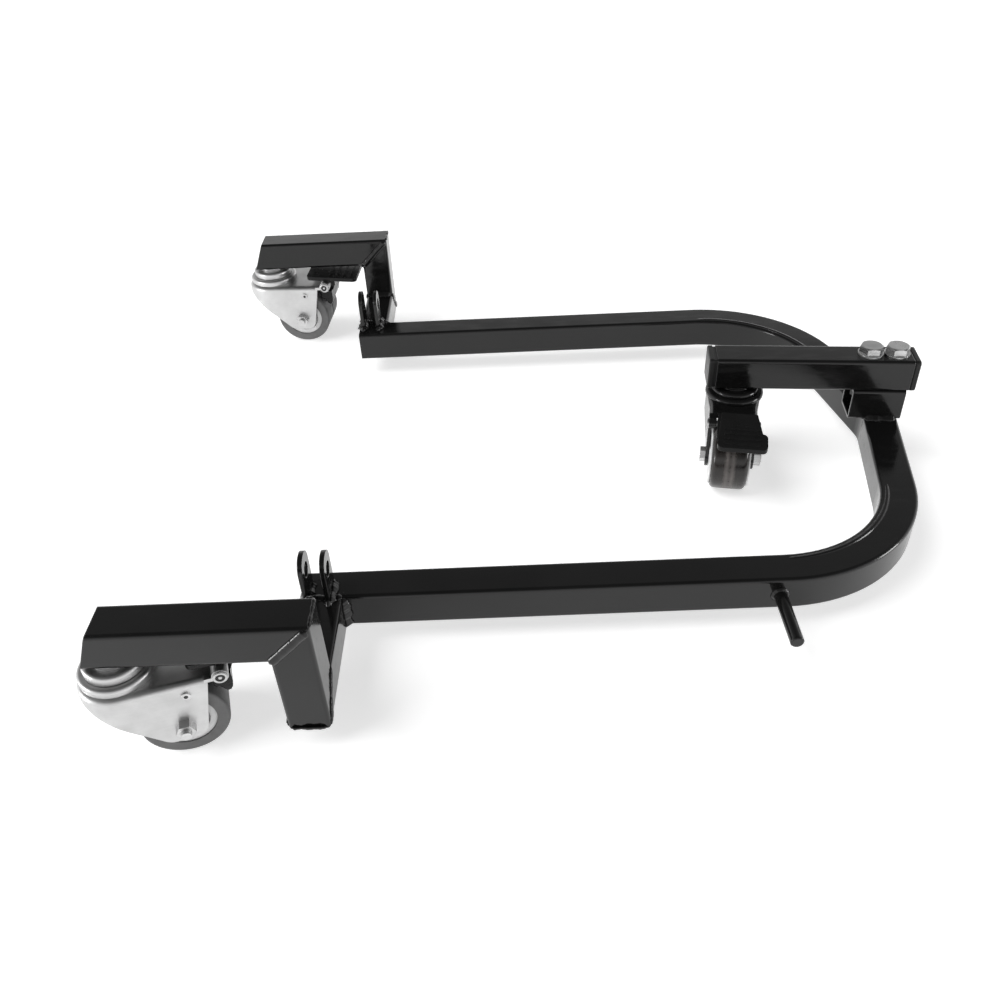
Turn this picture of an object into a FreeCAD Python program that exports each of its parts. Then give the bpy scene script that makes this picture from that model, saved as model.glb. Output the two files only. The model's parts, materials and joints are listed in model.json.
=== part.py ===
"""Motorcycle mover dolly: a bent square-tube U frame carried low on three braked swivel casters.

Row frame in millimetres: +Z up with the floor at zero, +X from the open ends of the U to its closed end,
the two arms at equal distances either side of Y = 0.
"""

import FreeCAD
import Part
import Sketcher
import math
import os

SIZES = (
    # square tube stock of the frame
    ("tube_width", 25.0, "side of the square tube"),
    ("tube_wall", 2.0, "tube wall"),
    ("tube_corner", 2.4, "outside corner radius of the tube"),
    # bent U frame, on the tube's centre line
    ("frame_width", 343.0, "between the centre lines of the two arms"),
    ("arm_length", 390.0, "open end of an arm to the corner of the centre line"),
    ("cross_rise", 31.5, "middle of the cross member beyond those corners"),
    ("corner_bend", 99.5, "radius of the two corner bends"),
    ("middle_bend", 43.0, "radius of the shallow bend in the middle of the cross member"),
    ("reference_x", 163.8, "open ends of the arms to the reference point"),
    # raised brackets that carry the two outer casters
    ("bracket_reach", 81.5, "outer face of an arm to the outer face of the bracket"),
    ("swing_clearance", 2.8, "leg of the bracket to the swing of the brake pedal"),
    ("end_bevel", 21.0, "lean of the caster arm's cut end from upright, degrees"),
    ("caster_inset", 13.3, "lower end of the caster arm to the swivel axis"),
    # clevis ears and peg
    ("ear_width", 20.0, "width of an ear across the arm"),
    ("ear_thickness", 3.0, "plate of an ear"),
    ("ear_gap", 10.5, "clear gap between the two ears of a clevis"),
    ("ear_inset", 2.0, "open end of the arm to the first ear"),
    ("ear_setback", 4.5, "outer face of the arm to the middle of the ears"),
    ("ear_round", 9.5, "corner radius of an ear's top"),
    ("ear_hole", 10.0, "hole through an ear"),
    ("ear_hole_height", 20.8, "top of the arm to the hole's centre"),
    ("ear_crown", 12.0, "hole's centre to the top of the ear"),
    ("peg_diameter", 8.5, "round peg on the near arm"),
    ("peg_length", 41.5, "peg beyond the arm's face"),
    ("peg_setback", 6.0, "peg to the start of the corner bend"),
    ("peg_chamfer", 0.8, "chamfer on the peg's end"),
    # tail arm, bolted to a spacer on the cross member
    ("spacer_length", 38.5, "short tube welded on the cross member"),
    ("spacer_setback", 6.3, "middle of the cross member to the middle of the spacer"),
    ("spacer_offset", 2.0, "middle of the spacer beyond the middle of the U, towards the far arm"),
    ("tail_arm_length", 143.0, "tube of the tail arm"),
    ("tail_overhang", 20.5, "middle of the spacer to the outer end of the tail arm"),
    ("tail_inset", 16.8, "inner end of the tail arm to the swivel axis"),
    ("tail_turn", 5.9, "turn of the spacer and tail arm in plan, degrees"),
    ("cap_groove", 0.9, "groove between the outer end cap's flange and the tube, wide and deep"),
    ("cap_standoff", 2.4, "same groove at the inner end cap, which stands further out"),
    ("cap_flange", 3.6, "flange of an end cap"),
    ("cap_round", 1.2, "rounded rim of an end cap"),
    ("cap_plug", 5.0, "plug of an end cap inside the tube"),
    ("cap_wall", 2.0, "wall of the hollow plug"),
    ("cap_play", 0.1, "plug to tube wall"),
    # fasteners of the tail arm
    ("bolt_size", 10.0, "thread of the two arm bolts"),
    ("bolt_distance", 19.0, "between the two arm bolts"),
    ("bolt_flats", 15.0, "across flats of head and nut"),
    ("bolt_head", 5.6, "height of the head"),
    ("bolt_nut", 8.0, "height of the nut"),
    ("bolt_tail", 2.5, "thread beyond the nut"),
    ("bolt_hole_play", 0.5, "bolt to its hole, on the radius"),
    ("thread_play", 0.05, "nut to thread, on the radius"),
    ("washer_width", 18.5, "washer under a head"),
    ("washer_thickness", 1.6, "washer plate"),
    ("hex_bevel", 1.2, "height of the bevel on a hexagon's corners"),
    ("hex_inset", 0.3, "flats to the round face left by that bevel"),
    # swivel head, shared by both kinds of caster
    ("stud_size", 10.0, "thread of the bolt that holds a caster"),
    ("stud_play", 0.25, "stud to the holes around it, on the radius"),
    ("stud_tail", 3.0, "thread beyond the nut"),
    ("head_gap", 0.3, "running gap between fixed cup and turning ring"),
    ("boss_radius", 11.4, "flat top of the cup, under the arm"),
    ("boss_height", 2.0, "neck above the cup's dome"),
    ("dome_round", 2.4, "rounded edges of cup and ring"),
    ("race_bore", 11.4, "bore of the turning ring"),
    ("king_radius", 7.0, "kingpin sleeve"),
    ("king_play", 0.05, "kingpin to fork, on the radius"),
    ("king_lip", 9.5, "flanged lip that holds the fork up"),
    ("king_lip_thickness", 1.5, "thickness of that lip"),
    # fork, axle and brake fittings, shared by both kinds of caster
    ("fork_plate", 2.5, "fork steel"),
    ("fork_bend", 3.8, "outside radius of the fork's folded edges"),
    ("fork_end_half", 10.5, "half width of a fork leg at the axle"),
    ("fork_end_below", 10.5, "axle to the tip of a fork leg"),
    ("fork_end_round", 8.5, "rounded corners of that tip"),
    ("axle_size", 6.0, "axle bolt"),
    ("axle_play", 0.1, "axle to fork, on the radius"),
    ("axle_run", 0.05, "axle to hub, on the radius"),
    ("axle_flats", 10.0, "across flats of axle head and nut"),
    ("axle_head", 4.0, "height of the axle head"),
    ("axle_nut", 5.0, "height of the axle nut"),
    ("hub_gap", 0.3, "hub boss to fork leg"),
    ("hub_boss", 7.6, "radius of the hub's boss"),
    ("hub_dish", 3.0, "depth of the dished web"),
    ("hub_rim", 4.0, "width of the hub's rim ring"),
    ("hub_lip", 1.0, "tyre's edge beyond the hub's rim ring"),
    ("tyre_seat", 0.02, "tyre to hub, on the radius"),
    ("pin_head", 1.4, "head of the brake pin beyond the pin's radius"),
    ("pin_head_thickness", 1.0, "thickness of that head"),
    ("pin_seat", 0.02, "brake pin to its eyes, on the radius"),
    ("pin_run", 0.05, "brake pin to the pedal's lug, on the radius"),
    ("lug_half", 12.0, "half width of the pedal's lug"),
    ("lug_play", 0.4, "lug to eye, each side"),
    ("pedal_thickness", 3.5, "pedal plate"),
    ("pedal_corner", 3.8, "corner radius of the pedal in plan"),
    ("grip_height", 0.8, "grip ribs above the pedal plate"),
    ("grip_width", 1.6, "width of one grip rib"),
    ("shoe_round", 1.5, "rounded lower edges of the brake shoe"),
    ("grip_margin", 5.0, "ends of the grip ribs to the pedal's sides"),
    # zinc-plated twin-wheel caster, two of them
    ("twin_height", 71.5, "floor to the underside of the caster arm"),
    ("twin_trail", 28.3, "swivel axis to axle"),
    ("twin_wheel", 50.0, "wheel diameter"),
    ("twin_tread", 19.25, "width of one wheel"),
    ("twin_wheel_gap", 2.5, "between the two wheels"),
    ("twin_side_play", 1.25, "wheel to fork leg"),
    ("twin_hub", 17.5, "radius of the hub"),
    ("twin_axle_tail", 2.5, "thread beyond the axle nut"),
    ("twin_shoulder", 1.6, "outer shoulder of the tyre"),
    ("twin_cup_radius", 17.6, "fixed cup"),
    ("twin_cup_height", 7.8, "fixed cup, arm to running gap"),
    ("twin_ring_radius", 21.5, "turning ring"),
    ("twin_ring_height", 5.2, "turning ring above the fork"),
    ("twin_nose", 22.9, "swivel axis to the fork's front"),
    ("twin_nose_round", 21.9, "rounded front corners of the fork in plan"),
    ("twin_fork_back", 48.0, "swivel axis to the fork's back edge"),
    ("twin_skirt", 5.2, "skirt at the fork's front"),
    ("twin_pivot_reach", 54.5, "swivel axis to the brake pin"),
    ("twin_pivot_drop", 13.4, "caster arm to the brake pin"),
    ("twin_eye", 4.7, "rolled eye around the brake pin, radius"),
    ("twin_pin", 2.8, "brake pin radius"),
    ("twin_pedal_front", 17.0, "pedal plate ahead of the brake pin"),
    ("twin_pedal_back", 30.5, "pedal plate behind the brake pin"),
    ("twin_pedal_width", 40.0, "pedal plate across"),
    ("twin_pedal_shift", 0.0, "middle of the plate to the middle of the fork"),
    ("twin_pedal_rise", 6.0, "pin to the plate's underside, at the front"),
    ("twin_pedal_fall", 3.5, "pin to the plate's underside, at the back"),
    ("twin_grip_pitch", 6.6, "between grip ribs"),
    ("twin_shoe_half", 17.0, "half width of the brake shoe"),
    ("twin_shoe_reach", 5.7, "shoe tip ahead of the brake pin"),
    ("twin_shoe_drop", 14.8, "shoe tip below the brake pin"),
    ("twin_shoe_heel", 4.8, "heel of the shoe behind the brake pin"),
    ("twin_shoe_top", 6.7, "top of the shoe below the brake pin"),
    ("twin_web_back", 7.6, "back of the web behind the brake pin"),
    ("twin_web_drop", 2.4, "back of the web below the brake pin"),
    ("twin_web_fillet", 4.2, "hollow between web and plate"),
    ("rivet_reach", 34.0, "swivel axis to the leg's rivet"),
    ("rivet_drop", 22.0, "caster arm to the leg's rivet"),
    ("rivet_shank", 1.8, "rivet radius"),
    ("rivet_head", 2.7, "radius of a rivet head"),
    ("rivet_head_height", 1.0, "height of a rivet head"),
    # black single-wheel caster under the tail arm
    ("single_height", 65.5, "floor to the underside of the tail arm"),
    ("single_trail", 43.0, "swivel axis to axle"),
    ("single_wheel", 50.0, "wheel diameter"),
    ("single_tread", 13.4, "half width of the wheel"),
    ("single_wheel_gap", 0.0, "the wheel is one piece"),
    ("single_side_play", 2.1, "wheel to fork leg"),
    ("single_hub", 17.5, "radius of the hub"),
    ("single_axle_tail", 0.6, "thread beyond the axle nut"),
    ("single_shoulder", 4.0, "shoulder of the tyre"),
    ("single_cup_radius", 18.0, "fixed cup"),
    ("single_cup_height", 5.4, "fixed cup, arm to running gap"),
    ("single_ring_radius", 21.9, "turning ring"),
    ("single_ring_height", 3.8, "turning ring above the fork"),
    ("single_nose", 22.4, "swivel axis to the fork's front"),
    ("single_nose_round", 16.5, "rounded front corners of the fork in plan"),
    ("single_fork_back", 35.5, "swivel axis to the fork's back edge"),
    ("single_skirt", 8.5, "skirt at the fork's front"),
    ("fork_flare", 5.0, "how much further out each side of this fork stands at its front"),
    ("flare_end", 20.0, "swivel axis to where the sides turn straight"),
    ("flare_round", 40.0, "radius of that turn"),
    ("single_pivot_reach", 45.0, "swivel axis to the brake pin"),
    ("single_pivot_drop", 11.0, "tail arm to the brake pin"),
    ("single_eye", 3.8, "rolled eye around the brake pin, radius"),
    ("single_pin", 2.4, "brake pin radius"),
    ("single_pedal_front", 2.9, "pedal plate ahead of the brake pin"),
    ("single_pedal_back", 31.5, "pedal plate behind the brake pin"),
    ("single_pedal_width", 35.8, "pedal plate across"),
    ("single_pedal_shift", 6.2, "middle of the plate to the middle of the fork"),
    ("pedal_tread", 15.5, "length of the plate at its full width"),
    ("pedal_neck", 20.5, "middle of the fork to the outer side of the narrow part, at its back"),
    ("pedal_root", 16.7, "middle of the fork to the outer side of the narrow part, at its front"),
    ("pedal_root_inner", 9.3, "middle of the fork to the inner side of the narrow part, at its front"),
    ("single_pedal_rise", 5.0, "pin to the plate's underside, at the front"),
    ("single_pedal_fall", -2.5, "pin to the plate's underside, at the back"),
    ("single_grip_pitch", 4.8, "between grip ribs"),
    ("single_shoe_half", 11.0, "half width of the brake shoe"),
    ("single_shoe_reach", -11.5, "shoe tip ahead of the brake pin"),
    ("single_shoe_drop", 5.4, "shoe tip below the brake pin"),
    ("single_shoe_heel", 16.2, "heel of the shoe behind the brake pin"),
    ("single_shoe_top", -1.4, "top of the shoe below the brake pin"),
    ("single_web_back", 17.2, "back of the web behind the brake pin"),
    ("single_web_drop", 2.9, "back of the web below the brake pin"),
    ("single_web_fillet", 2.0, "hollow between web and plate"),
    # how the casters stand
    ("near_swivel", 16.0, "turn of the near caster from +X, degrees"),
    ("far_swivel", -4.2, "turn of the far caster from +X, degrees"),
    ("tail_swivel", -102.0, "turn of the tail caster from +X, degrees"),
)

HEX_SIDES = 6
GRIP_RIBS = 4
OVERRUN = 1.0
OUTSIDE = 200.0

doc = FreeCAD.newDocument("MoverDolly")
sheet = doc.addObject("Spreadsheet::Sheet", "Sizes")
for row, (alias, size, meaning) in enumerate(SIZES, 1):
    sheet.set(f"A{row}", alias)
    sheet.set(f"B{row}", str(size))
    sheet.set(f"C{row}", meaning)
    sheet.setAlias(f"B{row}", alias)
doc.recompute()

# places that several pieces share, as expressions over the sheet
HALF = "Sizes.tube_width / 2"
UNDERSIDE = "(Sizes.single_height - 2 * Sizes.tube_width)"
MIDDLE = f"({UNDERSIDE} + {HALF})"
TOP = f"({UNDERSIDE} + Sizes.tube_width)"
ARM_Y = "(Sizes.frame_width / 2)"
ARM_FACE = f"({ARM_Y} + {HALF})"
BRACKET_Y = f"({ARM_Y} + Sizes.bracket_reach)"
BRACKET_FACE = f"({BRACKET_Y} + {HALF})"
BRACKET_TOP = f"(Sizes.twin_height + Sizes.tube_width - {MIDDLE})"
BRACKET_UNDER = f"({BRACKET_TOP} - Sizes.tube_width)"
SPACER_X = "(Sizes.arm_length + Sizes.cross_rise - Sizes.spacer_setback - Sizes.reference_x)"
PEDAL_SWING = "hypot(Sizes.twin_pivot_reach + Sizes.twin_pedal_back; Sizes.twin_pedal_width / 2)"
CASTER_REACH = f"({PEDAL_SWING} + Sizes.swing_clearance)"
CASTER_ARM = f"({CASTER_REACH} + Sizes.caster_inset)"
CORNER_TURN = f"(90 deg - atan(Sizes.cross_rise / {ARM_Y}))"
PEG_X = f"(Sizes.arm_length - Sizes.corner_bend * tan({CORNER_TURN} / 2) - Sizes.peg_setback)"
EAR_Y = f"({ARM_FACE} - Sizes.ear_setback)"
TAIL_SWIVEL_BACK = "(Sizes.tail_arm_length - Sizes.tail_overhang - Sizes.tail_inset)"

sub_parts = []


def value(expression):
    """Number that an expression over the sheet has now."""
    return float(sheet.evalExpression(str(expression)))


def new_body(label):
    body = doc.addObject("PartDesign::Body", label)
    body.Label = label
    sub_parts.append(body)
    return body


def place(body, x="0", y="0", z="0", turn="0"):
    """Stand a body at a point of the row frame, turned about the upright."""
    body.setExpression("Placement.Base.x", x)
    body.setExpression("Placement.Base.y", y)
    body.setExpression("Placement.Base.z", z)
    body.setExpression("Placement.Rotation.Angle", turn)


def origin(body, role):
    return next(item for item in body.Origin.OriginFeatures if item.Role == role)


def new_sketch(body, plane, name, offset="0"):
    """Sketch on one of the body's own planes, moved along that plane's normal."""
    sketch = body.newObject("Sketcher::SketchObject", f"{body.Name}_{name}")
    sketch.AttachmentSupport = [(origin(body, plane), "")]
    sketch.MapMode = "FlatFace"
    sketch.setExpression("AttachmentOffset.Base.z", offset)
    return sketch


def bind(sketch, constraint, expression):
    index = sketch.addConstraint(constraint)
    sketch.setExpression(f"Constraints[{index}]", expression)


def pin_point(sketch, geometry, point, x, y):
    bind(sketch, Sketcher.Constraint("DistanceX", geometry, point, value(x)), x)
    bind(sketch, Sketcher.Constraint("DistanceY", geometry, point, value(y)), y)


def draw(sketch, corners, closed=True):
    """Draw straight sides through corners (x, y) or (x, y, radius), rounded by tangent arcs."""
    points = [FreeCAD.Vector(value(corner[0]), value(corner[1]), 0) for corner in corners]
    radii = [value(corner[2]) if len(corner) > 2 else 0.0 for corner in corners]
    count = len(corners)
    entry = list(points)
    leave = list(points)
    turns = [0.0] * count
    for i in range(count):
        if radii[i] <= 0:
            continue
        before = (points[i] - points[i - 1]).normalize()
        after = (points[(i + 1) % count] - points[i]).normalize()
        turns[i] = math.atan2(before.x * after.y - before.y * after.x, before.dot(after))
        trim = radii[i] * math.tan(abs(turns[i]) / 2)
        entry[i] = points[i] - before * trim
        leave[i] = points[i] + after * trim
    sides = count if closed else count - 1
    lines = [sketch.addGeometry(Part.LineSegment(leave[i], entry[(i + 1) % count])) for i in range(sides)]
    for i in range(count):
        last = lines[i - 1] if closed or i > 0 else None
        following = lines[i] if i < sides else None
        if radii[i] <= 0:
            if last is not None and following is not None:
                sketch.addConstraint(Sketcher.Constraint("Coincident", last, 2, following, 1))
            if following is not None:
                pin_point(sketch, following, 1, corners[i][0], corners[i][1])
            else:
                pin_point(sketch, last, 2, corners[i][0], corners[i][1])
            continue
        round_corner(sketch, points[i], entry[i], leave[i], turns[i], radii[i], last, following, corners[i])


def round_corner(sketch, corner, entry, leave, turn, radius, last, following, sizes):
    """Arc between two sides, held by the radius and by the sharp corner that it replaces."""
    before = (corner - entry).normalize()
    normal = FreeCAD.Vector(-before.y, before.x, 0) * math.copysign(1, turn)
    centre = entry + normal * radius
    first, second = (entry, leave) if turn > 0 else (leave, entry)
    start = math.atan2(first.y - centre.y, first.x - centre.x)
    end = math.atan2(second.y - centre.y, second.x - centre.x)
    if end < start:
        end += 2 * math.pi
    circle = Part.Circle(centre, FreeCAD.Vector(0, 0, 1), radius)
    arc = sketch.addGeometry(Part.ArcOfCircle(circle, start, end))
    at_entry, at_leave = (1, 2) if turn > 0 else (2, 1)
    sketch.addConstraint(Sketcher.Constraint("Tangent", last, 2, arc, at_entry))
    sketch.addConstraint(Sketcher.Constraint("Tangent", arc, at_leave, following, 1))
    bind(sketch, Sketcher.Constraint("Radius", arc, radius), sizes[2])
    sharp = sketch.addGeometry(Part.Point(corner), True)
    sketch.addConstraint(Sketcher.Constraint("PointOnObject", sharp, 1, last))
    sketch.addConstraint(Sketcher.Constraint("PointOnObject", sharp, 1, following))
    pin_point(sketch, sharp, 1, sizes[0], sizes[1])


def circle(sketch, x, y, radius):
    shape = Part.Circle(FreeCAD.Vector(value(x), value(y), 0), FreeCAD.Vector(0, 0, 1), value(radius))
    ring = sketch.addGeometry(shape)
    bind(sketch, Sketcher.Constraint("Radius", ring, value(radius)), radius)
    pin_point(sketch, ring, 3, x, y)


def box_corners(low_x, low_y, high_x, high_y, radius=None):
    corners = [(low_x, low_y), (high_x, low_y), (high_x, high_y), (low_x, high_y)]
    return corners if radius is None else [(x, y, radius) for x, y in corners]


def hexagon(sketch, x, y, flats):
    reach = f"{flats} / 2 / cos(30)"
    turns = [360 / HEX_SIDES * side for side in range(HEX_SIDES)]
    draw(sketch, [(f"{x} + {reach} * cos({turn})", f"{y} + {reach} * sin({turn})") for turn in turns])


def tube_section(sketch, x, y):
    """Hollow square section with rounded outer corners, centred on a point."""
    draw(sketch, box_corners(f"{x} - {HALF}", f"{y} - {HALF}", f"{x} + {HALF}", f"{y} + {HALF}",
                             "Sizes.tube_corner"))
    inner = f"({HALF} - Sizes.tube_wall)"
    draw(sketch, box_corners(f"{x} - {inner}", f"{y} - {inner}", f"{x} + {inner}", f"{y} + {inner}"))


def pad(body, sketch, length, reverse=False, symmetric=False):
    feature = body.newObject("PartDesign::Pad", f"{sketch.Name}_pad")
    feature.Profile = sketch
    feature.setExpression("Length", length)
    feature.Reversed = reverse
    feature.SideType = "Symmetric" if symmetric else "One side"
    return feature


def pocket(body, sketch, length=None, reverse=False):
    """Cut through everything both ways, or to a length on one side of the sketch."""
    feature = body.newObject("PartDesign::Pocket", f"{sketch.Name}_cut")
    feature.Profile = sketch
    if length is None:
        feature.SideType = "Symmetric"
        feature.Type = "ThroughAll"
    else:
        feature.setExpression("Length", length)
        feature.Reversed = reverse
    return feature


def slot_cut(body, sketch, width):
    """Cut to a stated width, centred on the sketch."""
    feature = pocket(body, sketch, width)
    feature.SideType = "Symmetric"
    return feature


def revolve(body, sketch, cut=False):
    """Turn a profile about the sketch's own upright axis."""
    kind = "PartDesign::Groove" if cut else "PartDesign::Revolution"
    feature = body.newObject(kind, f"{sketch.Name}_turn")
    feature.Profile = sketch
    feature.ReferenceAxis = (sketch, ["V_Axis"])
    feature.Angle = 360
    return feature


def repeat(body, feature, axis, length):
    pattern = body.newObject("PartDesign::LinearPattern", f"{body.Name}_pair")
    pattern.Originals = feature
    pattern.Direction = (origin(body, axis), [""])
    pattern.setExpression("Length", length)
    pattern.Occurrences = 2
    body.Tip = pattern


def mirror(body, features, plane):
    pair = body.newObject("PartDesign::Mirrored", f"{body.Name}_pair")
    pair.Originals = features
    pair.MirrorPlane = (origin(body, plane), [""])
    body.Tip = pair


def blend(body, feature, radius, wanted):
    """Round the edges of a feature that a test picks out."""
    doc.recompute()
    names = [f"Edge{i}" for i, edge in enumerate(feature.Shape.Edges, 1) if wanted(edge)]
    rounding = body.newObject("PartDesign::Fillet", f"{feature.Name}_round")
    rounding.Base = (feature, names)
    rounding.setExpression("Radius", radius)
    return rounding


def lies_at(edge, axis, height):
    """True where an edge lies in the plane across an axis at a height."""
    return all(abs(getattr(vertex.Point, axis) - height) < 1e-4 for vertex in edge.Vertexes)


def bevel_hexagon(body, flats, top, name):
    """Turn the corners of a hexagon down at its free face."""
    sketch = new_sketch(body, "XZ_Plane", name)
    reach = f"{flats} / 2 / cos(30)"
    draw(sketch, [(f"{flats} / 2 - Sizes.hex_inset", top), (f"{reach} + {OVERRUN}", top),
                  (f"{reach} + {OVERRUN}", f"{top} - Sizes.hex_bevel")])
    revolve(body, sketch, cut=True)


def build_u_tube():
    body = new_body("u_tube")
    path = new_sketch(body, "XY_Plane", "path")
    far_corner = "Sizes.arm_length"
    draw(path, [("0", f"-{ARM_Y}"),
                (far_corner, f"-{ARM_Y}", "Sizes.corner_bend"),
                (f"{far_corner} + Sizes.cross_rise", "0", "Sizes.middle_bend"),
                (far_corner, ARM_Y, "Sizes.corner_bend"),
                ("0", ARM_Y)], closed=False)
    section = new_sketch(body, "YZ_Plane", "section")
    tube_section(section, f"-{ARM_Y}", "0")
    pipe = body.newObject("PartDesign::AdditivePipe", "u_tube_bend")
    pipe.Profile = section
    pipe.Spine = (path, [])
    place(body, "-Sizes.reference_x", "0", MIDDLE)


def build_bracket(side, sign):
    """Connector, leg and caster arm of one side, mitred into each other."""
    outer = f"{sign} * {BRACKET_FACE}"
    inner = f"{sign} * ({BRACKET_FACE} - Sizes.tube_width)"
    centre = f"{sign} * {BRACKET_Y}"

    connector = new_body(f"{side}_connector")
    section = new_sketch(connector, "XZ_Plane", "section", f"{-sign} * {ARM_FACE}")
    tube_section(section, HALF, "0")
    pad(connector, section, "Sizes.bracket_reach", reverse=sign > 0)
    mitre = new_sketch(connector, "YZ_Plane", "mitre")
    draw(mitre, [(outer, f"-{HALF}"), (inner, HALF), (outer, HALF)])
    pocket(connector, mitre)
    place(connector, "-Sizes.reference_x", "0", MIDDLE)

    leg = new_body(f"{side}_leg")
    section = new_sketch(leg, "XY_Plane", "section", f"-{HALF}")
    tube_section(section, HALF, centre)
    pad(leg, section, f"{BRACKET_TOP} + {HALF}")
    mitre = new_sketch(leg, "YZ_Plane", "mitre")
    draw(mitre, [(outer, f"-{HALF}"), (inner, HALF), (inner, f"-{HALF}")])
    pocket(leg, mitre)
    mitre = new_sketch(leg, "XZ_Plane", "top_mitre")
    draw(mitre, [("0", BRACKET_UNDER), ("Sizes.tube_width", BRACKET_TOP), ("0", BRACKET_TOP)])
    pocket(leg, mitre)
    place(leg, "-Sizes.reference_x", "0", MIDDLE)

    arm = new_body(f"{side}_caster_arm")
    section = new_sketch(arm, "YZ_Plane", "section", f"-{CASTER_ARM}")
    tube_section(section, centre, f"{BRACKET_TOP} - {HALF}")
    pad(arm, section, f"{CASTER_ARM} + Sizes.tube_width")
    ends = new_sketch(arm, "XZ_Plane", "ends")
    tip = f"-{CASTER_ARM}"
    lean = "Sizes.tube_width * tan(Sizes.end_bevel)"
    draw(ends, [("0", BRACKET_UNDER), ("Sizes.tube_width", BRACKET_TOP), ("Sizes.tube_width", BRACKET_UNDER)])
    draw(ends, [(tip, BRACKET_UNDER), (f"{tip} + {lean}", BRACKET_TOP), (tip, BRACKET_TOP)])
    pocket(arm, ends)
    hole = new_sketch(arm, "XY_Plane", "stud_hole", BRACKET_UNDER)
    circle(hole, f"-{CASTER_REACH}", centre, "Sizes.stud_size / 2 + Sizes.stud_play")
    slot_cut(arm, hole, "4 * Sizes.tube_wall")
    place(arm, "-Sizes.reference_x", "0", MIDDLE)


def build_ears(side, sign):
    """Clevis of two drilled ears standing where the arm meets its connector."""
    body = new_body(f"{side}_clevis_ears")
    centre = f"{sign} * {EAR_Y}"
    low = f"{centre} - Sizes.ear_width / 2"
    high = f"{centre} + Sizes.ear_width / 2"
    crown = f"{HALF} + Sizes.ear_hole_height + Sizes.ear_crown"
    sketch = new_sketch(body, "YZ_Plane", "outline", "Sizes.ear_inset")
    draw(sketch, [(low, HALF), (high, HALF),
                  (high, crown, "Sizes.ear_round"), (low, crown, "Sizes.ear_round")])
    circle(sketch, centre, f"{HALF} + Sizes.ear_hole_height", "Sizes.ear_hole / 2")
    ear = pad(body, sketch, "Sizes.ear_thickness")
    repeat(body, [ear], "X_Axis", "Sizes.ear_thickness + Sizes.ear_gap")
    place(body, "-Sizes.reference_x", "0", MIDDLE)


def build_peg():
    body = new_body("side_peg")
    sketch = new_sketch(body, "XZ_Plane", "section", ARM_FACE)
    circle(sketch, PEG_X, "0", "Sizes.peg_diameter / 2")
    rod = pad(body, sketch, "Sizes.peg_length")
    doc.recompute()
    tip = -value(f"{ARM_FACE} + Sizes.peg_length")
    names = [f"Edge{i}" for i, edge in enumerate(rod.Shape.Edges, 1) if lies_at(edge, "y", tip)]
    chamfer = body.newObject("PartDesign::Chamfer", "side_peg_end")
    chamfer.Base = (rod, names)
    chamfer.setExpression("Size", "Sizes.peg_chamfer")
    place(body, "-Sizes.reference_x", "0", MIDDLE)


def place_on_tail(body, along="0", height="0"):
    """Stand a body on the turned tail arm: along it from the spacer's middle, above the U frame."""
    place(body, f"{SPACER_X} + cos(Sizes.tail_turn) * ({along})",
          f"Sizes.spacer_offset - sin(Sizes.tail_turn) * ({along})", f"{TOP} + {height}", "-Sizes.tail_turn")


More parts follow.
